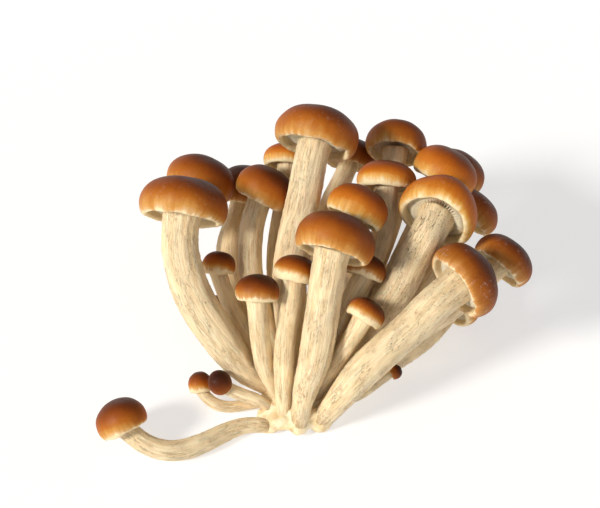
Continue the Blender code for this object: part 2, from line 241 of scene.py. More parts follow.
class RingedSolid:
    """A CAD solid of this frame, read as rings of points from one pole to the other."""

    def __init__(self, node: str) -> None:
        """Reads a copy of the node's mesh.

        Args:
            node: The CAD node's name.
        """
        copy = bmesh.new()
        copy.from_mesh(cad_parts[node].data)
        bmesh.ops.remove_doubles(copy, verts=copy.verts, dist=MERGE_WITHIN)
        level = [max(copy.verts, key=lambda corner: len(corner.link_edges))]
        seen = set(level)
        self.rings: list[list[Vector]] = []
        while level:
            self.rings.append([corner.co.copy() for corner in level])
            reached = {edge.other_vert(corner) for corner in level for edge in corner.link_edges}
            level = sorted(reached - seen, key=lambda corner: corner.index)
            seen.update(level)
        copy.free()

    def start_far_from(self, place: Vector) -> None:
        """Puts the pole that is farther from a place first."""
        if (self.rings[0][0] - place).length < (self.rings[-1][0] - place).length:
            self.rings.reverse()

    @property
    def middle(self) -> Vector:
        """The mean of all the points."""
        points = [point for ring in self.rings for point in ring]
        return sum(points, Vector()) / len(points)

    def centre(self, ring: int) -> Vector:
        """The middle of one ring."""
        return sum(self.rings[ring], Vector()) / len(self.rings[ring])

    def radius(self, ring: int) -> float:
        """The mean distance of one ring's points from its middle."""
        centre = self.centre(ring)
        return sum((point - centre).length for point in self.rings[ring]) / len(self.rings[ring])


@dataclass(frozen=True)
class Station:
    """One place on a stem's centreline."""

    middle: Vector
    side: Vector
    other: Vector
    way: Vector
    radius: float


class Course:
    """A stem's centreline as a smooth curve, with a side direction that doesn't twist."""

    def __init__(self, solid: RingedSolid, run_in: float, run_out: float, count: int) -> None:
        """Lays stations along a solid's rings.

        Args:
            solid: The stem's solid, foot first.
            run_in: How far the line starts before the first ring.
            run_out: How far it goes on past the last ring.
            count: How many stations it has.
        """
        inner = range(1, len(solid.rings) - 1)
        self.knots = [solid.centre(ring) for ring in inner]
        self.radii = [solid.radius(ring) for ring in inner]
        spans = zip(self.knots[:-1], self.knots[1:], strict=True)
        body = sum((b - a).length for a, b in spans)
        self.length = body + run_in + run_out
        middles, radii = [], []
        for k in range(count):
            along = self.length * k / (count - 1) - run_in
            held = min(max(along, 0.0), body)
            middle, way, radius = self._at(held / body)
            middles.append(middle + way * (along - held))
            radii.append(radius)
        middles = self._relaxed(middles)
        self.stations: list[Station] = []
        side = (middles[1] - middles[0]).orthogonal()
        for k, (middle, radius) in enumerate(zip(middles, radii, strict=True)):
            way = (middles[min(k + 1, count - 1)] - middles[max(k - 1, 0)]).normalized()
            side = (side - way * side.dot(way)).normalized()
            self.stations.append(Station(middle, side, way.cross(side), way, radius))

    @staticmethod
    def _relaxed(middles: list[Vector], rounds: int = 60) -> list[Vector]:
        """Eases the line's bends, because the skin folds where one is too tight. The ends stay.

        Args:
            middles: The centreline's points.
            rounds: How often each point moves towards its neighbours.

        Returns:
            The eased points.
        """
        for _ in range(rounds):
            triples = zip(middles[:-2], middles[1:-1], middles[2:], strict=True)
            inner = [(a + b * 2 + c) / 4 for a, b, c in triples]
            middles = [middles[0], *inner, middles[-1]]
        return middles

    def _at(self, share: float) -> tuple[Vector, Vector, float]:
        """Finds the curve's point, direction and radius.

        Args:
            share: How far along the solid, from 0 to 1.

        Returns:
            The point, the unit direction and the radius.
        """
        last = len(self.knots) - 1
        i = min(int(share * last), last - 1)
        t = share * last - i
        a, b = self.knots[i], self.knots[i + 1]
        before = self.knots[i - 1] if i else a * 2 - b
        after = self.knots[i + 2] if i + 2 <= last else b * 2 - a
        leave, arrive = (b - before) / 2, (after - a) / 2
        middle = (a * (2 * t**3 - 3 * t**2 + 1) + b * (3 * t**2 - 2 * t**3)
                  + leave * (t**3 - 2 * t**2 + t) + arrive * (t**3 - t**2))
        way = ((b - a) * (6 * t - 6 * t**2)
               + leave * (3 * t**2 - 4 * t + 1) + arrive * (3 * t**2 - 2 * t)).normalized()
        return middle, way, self.radii[i] + (self.radii[i + 1] - self.radii[i]) * t


class Value:
    """A number that varies over a surface, so that sums of such numbers read as sums."""

    def __init__(self, graph: "Graph", socket: Socket) -> None:
        """Wraps a node's output socket."""
        self.graph = graph
        self.socket = socket

    def _with(self, operation: str, first: Any, second: Any) -> "Value":
        """Adds a Math node."""
        made = self.graph.node("ShaderNodeMath", {"operation": operation}, {0: first, 1: second})
        return Value(self.graph, made.outputs[0])

    def __add__(self, other: "Value | float") -> "Value":
        """self + other."""
        return self._with("ADD", self, other)

    def __radd__(self, other: float) -> "Value":
        """other + self."""
        return self._with("ADD", other, self)

    def __sub__(self, other: "Value | float") -> "Value":
        """self - other."""
        return self._with("SUBTRACT", self, other)

    def __rsub__(self, other: float) -> "Value":
        """other - self."""
        return self._with("SUBTRACT", other, self)

    def __mul__(self, other: "Value | float") -> "Value":
        """self * other."""
        return self._with("MULTIPLY", self, other)

    def __rmul__(self, other: float) -> "Value":
        """other * self."""
        return self._with("MULTIPLY", other, self)

    def step(self, low: float, high: float) -> "Value":
        """Eases from 0 where this is low to 1 where it is high.

        Args:
            low: Where the step starts.
            high: Where it ends. It may be less than low, for a falling step.

        Returns:
            The eased value.
        """
        made = self.graph.node("ShaderNodeMapRange", {"interpolation_type": "SMOOTHSTEP"},
                               {"Value": self, "From Min": min(low, high), "From Max": max(low, high)})
        eased = Value(self.graph, made.outputs[0])
        return eased if low < high else 1 - eased


class Graph:
    """The node tree of one material, and the short ways to add to it."""

    def __init__(self, name: str) -> None:
        """Starts a material with a Principled shader.

        Args:
            name: The material's name.
        """
        self.material = bpy.data.materials.new(name)
        self.material.use_nodes = True
        self.tree = self.material.node_tree
        self.shader = self.tree.nodes["Principled BSDF"]

    def node(self, kind: str, settings: dict[str, Any], sockets: dict[str | int, Any]) -> bpy.types.Node:
        """Adds one node.

        Args:
            kind: The node's type.
            settings: Its properties, set first. "stops" holds a colour ramp's stops.
            sockets: What goes into its inputs: numbers, colours, sockets or Values.

        Returns:
            The new node.
        """
        made = self.tree.nodes.new(kind)
        for name, value in settings.items():
            if name == "stops":
                self._set_stops(made.color_ramp, value)
            else:
                setattr(made, name, value)
        for key, value in sockets.items():
            self.feed(made.inputs[key], value)
        return made

    def feed(self, target: Socket, value: Any) -> None:
        """Links or sets one input socket.

        Args:
            target: The input.
            value: A Value, an output socket, a number or a colour.
        """
        if isinstance(value, Value):
            value = value.socket
        if isinstance(value, Socket):
            self.tree.links.new(value, target)
        elif isinstance(value, tuple) and len(value) == 3 and target.type == "RGBA":
            target.default_value = (*value, 1.0)
        else:
            target.default_value = value

    @staticmethod
    def _set_stops(ramp: bpy.types.ColorRamp, stops: Sequence[tuple[float, tuple]]) -> None:
        """Gives a colour ramp its stops.

        Args:
            ramp: The ramp.
            stops: Each stop's place and colour.
        """
        while len(ramp.elements) < len(stops):
            ramp.elements.new(0.5)
        for element, (place, colour) in zip(ramp.elements, stops, strict=True):
            element.position = place
            element.color = (*colour, 1.0)

    def object_place(self) -> Socket:
        """The Object coordinates, in metres."""
        return self.node("ShaderNodeTexCoord", {}, {}).outputs["Object"]

    def number(self, attribute: str) -> Value:
        """A number that the mesh carries on its points."""
        made = self.node("ShaderNodeAttribute", {"attribute_name": attribute}, {})
        return Value(self, made.outputs["Fac"])

    def vector(self, attribute: str) -> Socket:
        """A vector that the mesh carries on its points."""
        return self.node("ShaderNodeAttribute", {"attribute_name": attribute}, {}).outputs["Vector"]

    def noise(self, place: Socket, scale: float, detail: float = 2.0, roughness: float = 0.5,
              along: float = 1.0) -> Value:
        """Cloudy noise, from 0 to 1.

        Args:
            place: The coordinates it is read at.
            scale: How fine it is.
            detail: How many finer layers it has.
            roughness: How strong the finer layers are.
            along: A factor on the third coordinate. A small one draws the noise out lengthwise.

        Returns:
            The noise.
        """
        if along != 1.0:
            place = self.node("ShaderNodeVectorMath", {"operation": "MULTIPLY"},
                              {0: place, 1: (1.0, 1.0, along)}).outputs[0]
        made = self.node("ShaderNodeTexNoise", {},
                         {"Vector": place, "Scale": scale, "Detail": detail, "Roughness": roughness})
        return Value(self, made.outputs["Fac"])

    def ramp(self, value: Value, stops: Sequence[tuple[float, tuple]]) -> Socket:
        """Turns a value into a colour."""
        return self.node("ShaderNodeValToRGB", {"stops": stops}, {0: value}).outputs["Color"]

    def blend(self, share: Value | float, first: Any, second: Any, way: str = "MIX") -> Socket:
        """Mixes two colours.

        Args:
            share: How much of the second colour.
            first: The first colour.
            second: The second colour.
            way: The Mix node's blend type.

        Returns:
            The mixed colour.
        """
        made = self.node("ShaderNodeMix", {"data_type": "RGBA", "blend_type": way},
                         {0: share, 6: first, 7: second})
        return made.outputs[2]

    def bump(self, height: Value, depth: float, under: Socket | None = None) -> Socket:
        """Turns a height into a surface direction.

        Args:
            height: The height, from 0 to 1.
            depth: How deep the full height is, in metres.
            under: Another bump that this one lies on.

        Returns:
            The normal.
        """
        sockets: dict[str | int, Any] = {"Height": height, "Distance": depth}
        if under is not None:
            sockets["Normal"] = under
        return self.node("ShaderNodeBump", {}, sockets).outputs["Normal"]

    def surface(self, **inputs: Any) -> Material:
        """Feeds the Principled shader.

        Args:
            **inputs: Its inputs by name, with _ for a space.

        Returns:
            The finished material.
        """
        for name, value in inputs.items():
            self.feed(self.shader.inputs[name.replace("_", " ")], value)
        return self.material


@dataclass(frozen=True)
class CapSkin:
    """Smooth cap skin: dark at the crown, amber on the flank, cream at the rolled margin, and darkened as
    painted shade on the side turned from the key light.
    """

    golden: tuple = ((0.0, (0.15, 0.034, 0.005)), (0.28, (0.28, 0.060, 0.006)),
                     (0.54, (0.46, 0.110, 0.007)), (0.74, (0.60, 0.190, 0.016)),
                     (0.86, (0.76, 0.42, 0.10)), (0.945, (0.90, 0.75, 0.46)))
    chestnut: tuple = ((0.0, (0.022, 0.005, 0.002)), (0.30, (0.058, 0.011, 0.002)),
                       (0.56, (0.15, 0.032, 0.003)), (0.80, (0.29, 0.078, 0.008)),
                       (0.91, (0.50, 0.20, 0.045)), (0.96, (0.86, 0.70, 0.44)))
    bloom: tuple = (0.66, 0.52, 0.47)
    # How strongly the painted shade darkens the side of each cap turned from the key light.
    side_shade_strength: float = 0.30
    cream_climb: float = 0.20
    dusting: float = 0.75
    shine: float = 0.49
    gloss: float = 0.16
    wrinkle: float = 0.10 * MM
    undulation: float = 0.5 * MM

    def build(self) -> Material:
        """Makes the material.

        Returns:
            The material.
        """
        graph = Graph("cap_skin_finish")
        place = graph.object_place()
        skin = graph.vector("skin")
        share = graph.number("share")
        streaks = graph.noise(skin, 9.0, 3.0, along=0.22)
        fibrils = graph.noise(skin, 34.0, 2.0, along=0.12)
        clouds = graph.noise(place, 130.0, 3.0)
        pores = graph.noise(place, 1500.0, 2.0)
        edge = share.step(0.55, 0.9)
        # Painted shade: the side of each cap turned from the key light is made darker, all but the margin.
        painted_side_shade = graph.number("shade_facing").step(0.05, 0.95) * (1 - share.step(0.72, 0.93))
        tides = graph.noise(skin, 3.4, 2.0) - 0.5
        level = share - painted_side_shade * self.side_shade_strength + (streaks - 0.5) * (0.06 + edge * 0.13) \
            + (clouds - 0.5) * 0.22 + tides * edge * 0.16 \
            + graph.number("pale_edge") * share.step(0.34, 0.74) * self.cream_climb
        skin_colour = graph.blend(graph.number("ripeness"), graph.ramp(level, self.golden),
                                  graph.ramp(level, self.chestnut))
        fine = (pores - 0.5) * 0.14 + (fibrils - 0.5) * 0.07
        shaded = graph.blend(fine.step(-0.12, 0.12), (0.82, 0.80, 0.78), (1.12, 1.10, 1.08))
        coloured = graph.blend(1.0, skin_colour, shaded, "MULTIPLY")
        dust = graph.noise(place, 900.0, 3.0, 0.7).step(0.55, 0.72) \
            * graph.noise(place, 170.0, 2.0).step(0.42, 0.62)
        dusted = graph.blend(dust * graph.number("bloom") * self.dusting, coloured, self.bloom)
        wrinkles = (fibrils - 0.5) * (0.1 + edge * 0.5) + graph.noise(place, 700.0, 4.0) * 0.6
        normal = graph.bump(wrinkles, self.wrinkle, graph.bump(clouds, self.undulation))
        rough = self.shine + (clouds - 0.5) * 0.16 + share.step(0.78, 0.95) * 0.25 + dust * 0.2
        return graph.surface(Base_Color=dusted, Roughness=rough, Normal=normal,
                             Specular_IOR_Level=self.gloss, Subsurface_Weight=0.05,
                             Subsurface_Scale=1.0 * MM)


@dataclass(frozen=True)
class StemFlesh:
    """Cream stem flesh with lengthwise fibres, tan streaks and brown scurf."""

    pale: tuple = (0.93, 0.775, 0.51)
    cream: tuple = (0.87, 0.65, 0.365)
    tan: tuple = (0.52, 0.31, 0.11)
    brown: tuple = (0.19, 0.095, 0.032)
    streaking: float = 0.32
    staining: float = 0.20
    cracking: float = 0.40
    spotting: float = 0.62
    ageing: float = 0.50
    tearing: float = 0.6
    relief: float = 0.36 * MM

    def build(self) -> Material:
        """Makes the material.

        Returns:
            The material.
        """
        graph = Graph("stem_flesh_finish")
        grain = graph.vector("grain")
        reach = graph.number("reach")
        scurf = graph.number("scurf")
        fibres = graph.noise(grain, 1.3, 5.0, 0.65, along=0.05)
        threads = graph.noise(grain, 2.7, 4.0, along=0.05)
        stains = graph.noise(grain, 0.28, 3.0, along=0.35)
        flecks = graph.noise(grain, 2.5, 3.0, 0.65, along=0.5)
        patches = graph.noise(grain, 0.33, 2.0, along=0.5)
        flesh = graph.blend(fibres.step(0.36, 0.66), self.cream, self.pale)
        from_line = threads - 0.5
        cracks = (from_line * from_line).step(0.0009, 0.0) * patches.step(0.36, 0.58)
        grit = graph.noise(grain, 3.2, 4.0, 0.7, along=0.6)
        streaked = graph.blend(threads.step(0.56, 0.74) * stains.step(0.38, 0.62) * self.streaking,
                               flesh, self.tan)
        stained = graph.blend(stains.step(0.54, 0.74) * self.staining, streaked, self.tan)
        cracked = graph.blend(cracks * self.cracking, stained, self.tan)
        rough_neck = scurf.step(0.75, 1.0) * reach.step(0.35, 0.80)
        spots = flecks.step(0.585, 0.66) * (patches.step(0.42, 0.60) * scurf + rough_neck * 0.45)
        gritty = grit.step(0.56, 0.68) * scurf * (0.10 + reach.step(0.42, 0.92) * 0.50 + rough_neck * 0.15)
        dusty = graph.blend(gritty, cracked, self.tan)
        spotted = graph.blend(spots * self.spotting, dusty, self.brown)
        foot = (reach + (fibres - 0.5) * 0.10).step(0.10, 0.0)
        aged = graph.blend(foot * self.ageing, spotted, self.tan)
        bruised = graph.blend(foot * graph.number("torn") * threads.step(0.45, 0.7) * self.tearing,
                              aged, self.brown)
        relief = fibres * 0.6 + threads * 0.35 + spots * 0.5 + grit * (0.35 + scurf * 0.45) - cracks * 0.35
        normal = graph.bump(relief, self.relief)
        return graph.surface(Base_Color=bruised, Roughness=0.66 - fibres * 0.12, Normal=normal,
                             Subsurface_Weight=0.12, Subsurface_Scale=1.5 * MM)


@dataclass(frozen=True)
class GillFlesh:
    """Pale gills, with painted shade making them greyer deep between the blades."""

    blade: tuple = (0.86, 0.72, 0.50)
    # Painted shade: the colour given deep between the blades and on the roof above them.
    deep: tuple = (0.46, 0.32, 0.18)
    relief: float = 0.08 * MM

    def build(self) -> Material:
        """Makes the material.

        Returns:
            The material.
        """
        graph = Graph("gill_finish")
        depth = graph.number("depth")
        clouds = graph.noise(graph.object_place(), 300.0, 3.0)
        # Painted shade: darker where a point lies deep between blades or on the roof.
        tinted = graph.blend(depth * (0.6 + clouds * 0.6), self.blade, self.deep)
        normal = graph.bump(graph.noise(graph.object_place(), 1600.0, 3.0), self.relief)
        return graph.surface(Base_Color=tinted, Roughness=0.7, Normal=normal,
                             Subsurface_Weight=0.12, Subsurface_Scale=1.0 * MM)


@dataclass(frozen=True)
class RootFlesh:
    """Yellowish root flesh with brown bruises and pale threads."""

    pale: tuple = (0.92, 0.78, 0.52)
    tan: tuple = (0.80, 0.60, 0.33)
    brown: tuple = (0.17, 0.085, 0.03)
    soiling: float = 0.85
    bruising: float = 0.4
    relief: float = 0.5 * MM

    def build(self) -> Material:
        """Makes the material.

        Returns:
            The material.
        """
        graph = Graph("root_flesh_finish")
        place = graph.object_place()
        lumps = graph.noise(place, 240.0, 4.0, 0.6)
        threads = graph.noise(place, 900.0, 3.0, along=0.4)
        bruises = graph.noise(place, 420.0, 3.0)
        flesh = graph.blend(lumps.step(0.38, 0.62), self.tan, self.pale)
        soiled = bruises.step(0.47, 0.63) * graph.number("low") * self.soiling
        bruised = graph.blend(bruises.step(0.60, 0.74) * self.bruising + soiled, flesh, self.brown)
        normal = graph.bump(lumps * 0.7 + threads * 0.3, self.relief)
        return graph.surface(Base_Color=bruised, Roughness=0.78, Normal=normal,
                             Subsurface_Weight=0.08, Subsurface_Scale=1.5 * MM)


@dataclass(frozen=True)
class PaleFloor:
    """A plain matt floor, a little off white, that glows a little so that it stays pale."""

    colour: tuple = (0.50, 0.495, 0.49)
    glow: tuple = (1.0, 0.995, 0.99)
    lift: float = 0.57

    def build(self) -> Material:
        """Makes the material.

        Returns:
            The material.
        """
        graph = Graph("floor_finish")
        return graph.surface(Base_Color=self.colour, Roughness=0.9, Specular_IOR_Level=0.1,
                             Emission_Color=self.glow, Emission_Strength=self.lift)


@dataclass(frozen=True)
class Finishes:
    """All the materials of the cluster."""

    cap: Material
    stem: Material
    gill: Material
    root: Material


@dataclass
class Stem:
    """One stem: a fluted, fibrous rod along its CAD solid's centreline."""

    number: int
    solid: RingedSolid
    habit: Habit
    around: int = 96
    ring_pitch: float = 0.62 * MM
    into_root: float = 0.8 * MM
    into_cap: float = 1.3 * MM
    swell: float = 0.075
    ribs: float = 0.040
    fibres: float = 0.022
    flakes: float = 0.060
    ragged: float = 0.55 * MM
    oval: float = 0.035
    flare: float = 0.10
    fewest_rings: int = 30

    def build(self, finish: Material) -> None:
        """Models and dresses the stem.

        Args:
            finish: Its material.
        """
        whole = (self.solid.rings[0][0] - self.solid.rings[-1][0]).length
        rings = max(self.fewest_rings, round(whole / self.ring_pitch))
        course = Course(self.solid, self.into_root, self.into_cap, rings + 1)
        shape = self._rod(rings)
        grain = shape.verts.layers.float_vector.new("grain")
        reach, scurf, torn = (shape.verts.layers.float.new(name) for name in ("reach", "scurf", "torn"))
        for corner in shape.verts:
            ring = round(corner.co.z * rings)
            turn = math.atan2(corner.co.y, corner.co.x)
            out = math.hypot(corner.co.x, corner.co.y)
            station = course.stations[ring]
            along = course.length * ring / rings
            flat = Vector((math.cos(turn), math.sin(turn), 0.0)) * (station.radius / MM)
            flat.z = along / MM
            corner[grain] = flat + Vector((self.number * 11.0, 0.0, self.number * 23.0))
            corner[reach] = ring / rings
            corner[scurf] = self.habit.scurf
            corner[torn] = float(self.habit.torn)
            corner.co = above_table(self._place(station, turn, out, flat, ring, rings))
        finish_piece(f"mushroom_{self.number:02d}_stem", shape, finish,
                     [f"stem_{self.number:02d}"])

    def _rod(self, rings: int) -> Shape:
        """Makes a straight rod of unit radius and length, cut into rings.

        Args:
            rings: How many lengths it is cut into.

        Returns:
            The rod.
        """
        shape = bmesh.new()
        bmesh.ops.create_cone(shape, cap_ends=True, cap_tris=True, segments=self.around,
                              radius1=1.0, radius2=1.0, depth=1.0)
        bmesh.ops.translate(shape, vec=(0.0, 0.0, 0.5), verts=shape.verts)
        long_edges = [e for e in shape.edges if abs(e.verts[0].co.z - e.verts[1].co.z) > 0.5]
        bmesh.ops.subdivide_edges(shape, edges=long_edges, cuts=rings - 1, use_grid_fill=True)
        return shape

    def _place(self, station: Station, turn: float, out: float, flat: Vector, ring: int,
               rings: int) -> Vector:
        """Finds where a point of the straight rod goes on the real stem.

        Args:
            station: The place on the centreline at the point's ring.
            turn: The point's angle round the rod.
            out: How far it is from the rod's axis, from 0 to 1.
            flat: Its place on a straight stem, in millimetres.
            ring: Which ring it is on, counted from the foot.
            rings: How many rings there are.

        Returns:
            The point's place.
        """
        radius = station.radius * self._fullness(flat, turn) * self._ends(ring, rings)
        shift = 0.0
        if ring == 0:
            shift = self.ragged * noise.noise(flat * 0.9 * out + seeded(self.number, 4.0))
        round_off = station.side * math.cos(turn) + station.other * math.sin(turn)
        return station.middle + round_off * radius * out + station.way * shift

    def _fullness(self, flat: Vector, turn: float) -> float:
        """How much the flesh swells or shrinks at one spot.

        Args:
            flat: The spot on a straight stem, in millimetres.
            turn: Its angle round the stem.

        Returns:
            A factor on the radius.
        """
        seed = seeded(self.number, 1.0)
        broad = noise.noise(Vector((flat.x * 0.15, flat.y * 0.15, flat.z * 0.06)) + seed)
        ribs = noise.noise(Vector((flat.x * 0.50, flat.y * 0.50, flat.z * 0.035)) + seed)
        fibres = noise.noise(Vector((flat.x * 1.7, flat.y * 1.7, flat.z * 0.10)) + seed)
        flake = max(0.0, noise.noise(Vector((flat.x * 2.6, flat.y * 2.6, flat.z * 0.8)) + seed) - 0.12)
        oval = self.oval * math.cos(2 * turn + self.number)
        scales = self.flakes * flake * (0.35 + self.habit.scurf)
        return 1.0 + self.swell * broad + self.ribs * ribs + self.fibres * fibres + oval + scales

    def _ends(self, ring: int, rings: int) -> float:
        """Rounds the foot in and flares the neck where it meets the gills."""
        foot = {0: 0.80, 1: 0.94}.get(ring, 1.0)
        return foot * (1.0 + self.flare * smooth_step(0.93, 1.0, ring / rings))


@dataclass
class Cap:
    """One cap: a spun dome with a rolled margin, and a ring of gills inside it."""

    number: int
    solid: RingedSolid
    neck_radius: float
    habit: Habit
    around: int = 128
    dome_rows: int = 26
    margin_rows: int = 9
    fullness: float = 0.86
    widest: float = 0.34
    lip_reach: float = 0.785
    roll: float = 0.055
    roof: float = 0.34
    gill_pitch: float = 0.50 * MM
    gill_rows: int = 9
    gill_depth: float = 0.13
    fewest_blades: int = 24
    lobes: float = 0.014
    dents: float = 0.020
    dome_share: float = 0.70
    margin_share: float = 0.22
    axis: Vector = field(init=False)
    across: Vector = field(init=False)
    forward: Vector = field(init=False)
    floor: Vector = field(init=False)
    reach: float = field(init=False)
    height: float = field(init=False)
    arch: float = field(init=False)

    def __post_init__(self) -> None:
        """Reads the cap's axis, size and arch from its CAD solid."""
        rings = self.solid.rings
        crown, hollow = rings[0][0], rings[-1][0]
        self.axis = (crown - hollow).normalized()
        self.across = self.axis.cross(FRONT).normalized()
        self.forward = self.axis.cross(self.across)
        levels = [(self.solid.centre(k) - hollow).dot(self.axis) for k in range(len(rings))]
        lowest = min(range(len(rings)), key=levels.__getitem__)
        self.floor = hollow + self.axis * levels[lowest]
        self.height = (crown - self.floor).dot(self.axis)
        self.reach = max(self.solid.radius(k) for k in range(len(rings)))
        self.arch = self._read_arch(rings[lowest])

    def _read_arch(self, ring: Sequence[Vector]) -> float:
        """Measures how far a ring's sides drop below its front and back.

        Args:
            ring: The points of the cap's lowest ring.

        Returns:
            The drop, in metres.
        """
        total = 0.0
        for point in ring:
            offset = point - self.floor
            turn = math.atan2(offset.dot(self.forward), offset.dot(self.across))
            total -= offset.dot(self.axis) * math.cos(2 * turn)
        return 2 * total / len(ring)

    def build(self, finishes: Finishes) -> None:
        """Models and dresses the skin and the gills.

        Args:
            finishes: The cluster's materials.
        """
        name = f"mushroom_{self.number:02d}"
        node = f"cap_{self.number:02d}"
        finish_piece(f"{name}_cap", self._skin(), finishes.cap, [node])
        finish_piece(f"{name}_gills", self._gills(), finishes.gill)

    def _section(self) -> list[tuple[float, float, float]]:
        """Draws the skin's section from the crown over the margin to the roof inside.

        Returns:
            Each point's radius and level as shares of the cap, and how far out it is on the skin.
        """
        section = [(0.0, 1.0, 0.0)]
        for k in range(1, self.dome_rows + 1):
            angle = math.pi / 2 * k / self.dome_rows
            level = self.widest + (1 - self.widest) * math.cos(angle)
            section.append((math.sin(angle) ** self.fullness, level, self.dome_share * k / self.dome_rows))
        for k in range(1, self.margin_rows + 1):
            angle = math.pi / 2 * k / self.margin_rows
            turned_in = self.lip_reach + self.roll
            radius = turned_in + (1 - turned_in) * math.cos(angle)
            share = self.dome_share + self.margin_share * k / self.margin_rows
            section.append((radius, self.widest * (1 - math.sin(angle)), share))
        lip = ((0.036, 0.002, 0.935), (0.018, 0.012, 0.95), (0.004, 0.032, 0.965), (-0.006, 0.065, 0.98),
               (-0.002, 0.11, 0.99), (-0.015, 0.24, 1.0))
        section += [(self.lip_reach + r, level, share) for r, level, share in lip]
        section += [(self.lip_reach * 0.9, self.roof, 1.0), (0.4, self.roof + 0.03, 1.0),
                    (0.0, self.roof + 0.03, 1.0)]
        return section

    def _skin(self) -> Shape:
        """Spins the section into a closed skin and gives it its lobes and dents.

        Returns:
            The skin.
        """
        shape = bmesh.new()
        share = shape.verts.layers.float.new("share")
        corners = []
        for radius, level, out in self._section():
            corner = shape.verts.new((radius * self.reach, 0.0, level * self.height))
            corner[share] = out
            corners.append(corner)
        edges = [shape.edges.new(pair) for pair in zip(corners[:-1], corners[1:], strict=True)]
        self._spin(shape, corners + edges, self.around)
        skin = shape.verts.layers.float_vector.new("skin")
        names = ("ripeness", "bloom", "shade_facing", "pale_edge")
        ripeness, bloom, shade_facing, pale_edge = (shape.verts.layers.float.new(name) for name in names)
        share = shape.verts.layers.float["share"]
        middle = self.floor + self.axis * self.height * self.widest
        for corner in shape.verts:
            turn = math.atan2(corner.co.y, corner.co.x)
            corner[skin] = Vector((math.cos(turn), math.sin(turn), corner[share])) \
                + seeded(self.number, 2.0)
            corner[ripeness] = self.habit.tone.value
            corner[bloom] = self.habit.bloom
            corner[pale_edge] = self.habit.edge
            corner.co = self._on_cap(corner.co, self._unevenness(corner.co, turn, corner[share]))
            # How far this point faces the side that gets painted shade.
            corner[shade_facing] = (corner.co - middle).normalized().dot(SHADE_PAINTED_SIDE)
        return shape

    def _unevenness(self, place: Vector, turn: float, share: float) -> tuple[float, float]:
        """How much wider and higher the cap is at one spot than its plain section.

        Args:
            place: The spot on the plain section.
            turn: The angle round the cap.
            share: How far out it is, from crown to lip.

        Returns:
            A factor on the radius and a rise in metres.
        """
        seed = seeded(self.number, 3.0)
        lobes = math.cos(2 * turn + self.number) + 0.6 * math.cos(3 * turn - 2 * self.number)
        spot = noise.noise(place / (self.reach * 0.55) + seed)
        wave = noise.noise(Vector((2.4 * math.cos(turn), 2.4 * math.sin(turn), 0.0)) + seed)
        crinkle = noise.noise(Vector((9 * math.cos(turn), 9 * math.sin(turn), share * 3)) + seed)
        edge = smooth_step(0.6, 0.9, share)
        wider = 1.0 + self.lobes * lobes + self.dents * spot + 0.012 * edge * wave + 0.006 * edge * crinkle
        rise = self.height * (self.dents * spot + edge * (0.035 * wave + 0.012 * crinkle))
        return wider, rise

    def _on_cap(self, place: Vector, uneven: tuple[float, float] = (1.0, 0.0)) -> Vector:
        """Moves a point of the upright section to its place on the tilted cap.

        Args:
            place: The point on the upright section.
            uneven: A factor on its radius and a rise, in metres.

        Returns:
            The point's place.
        """
        wider, rise = uneven
        x, y = place.x * wider, place.y * wider
        spread = math.hypot(x, y) / self.reach
        turn = math.atan2(y, x)
        level = place.z + rise - self.arch * math.cos(2 * turn) * spread**2
        return above_table(self.floor + self.across * x + self.forward * y + self.axis * level)

    @staticmethod
    def _spin(shape: Shape, section: list, steps: int) -> None:
        """Spins a section once round and closes its seam and poles."""
        bmesh.ops.spin(shape, geom=section, cent=(0.0, 0.0, 0.0), axis=(0.0, 0.0, 1.0),
                       angle=FULL_TURN, steps=steps, use_merge=True)
        bmesh.ops.remove_doubles(shape, verts=shape.verts, dist=MERGE_WITHIN)

    def _gills(self) -> Shape:
        """Spins a ring under the roof and pleats its lower side into blades.

        Returns:
            The gills.
        """
        inner, outer = self.neck_radius * 0.93, self.reach * (self.lip_reach - 0.01)
        blades = max(self.fewest_blades, round(FULL_TURN * (inner + outer) / 2 / self.gill_pitch))
        steps = blades * STEPS_PER_BLADE
        under = [inner + (outer - inner) * k / self.gill_rows for k in range(self.gill_rows + 1)]
        top = self.height * (self.roof + 0.01)
        shape = bmesh.new()
        corners = [shape.verts.new((radius, 0.0, self._gill_edge(radius, inner, outer)))
                   for radius in under]
        corners += [shape.verts.new((radius, 0.0, top)) for radius in (outer * 0.97, inner)]
        pairs = zip(corners, corners[1:] + corners[:1], strict=True)
        edges = [shape.edges.new(pair) for pair in pairs]
        self._spin(shape, corners + edges, steps)
        depth = shape.verts.layers.float.new("depth")
        for corner in shape.verts:
            radius, turn = math.hypot(corner.co.x, corner.co.y), math.atan2(corner.co.y, corner.co.x)
            step = round(turn / FULL_TURN * steps) % steps
            corner[depth] = 1.0
            if corner.co.z < top - MERGE_WITHIN:
                turn, rise, corner[depth] = self._pleat(step, radius, inner, outer, turn, steps)
                corner.co = Vector((radius * math.cos(turn), radius * math.sin(turn), corner.co.z + rise))
            corner.co = self._on_cap(corner.co)
        return shape

    def _gill_edge(self, radius: float, inner: float, outer: float) -> float:
        """The level of the blades' lower edges: deepest half way out, shallow at both ends."""
        out = (radius - inner) / (outer - inner)
        return self.height * (0.13 + 0.05 * out - 0.04 * math.sin(math.pi * out) + 0.06 * out**6)

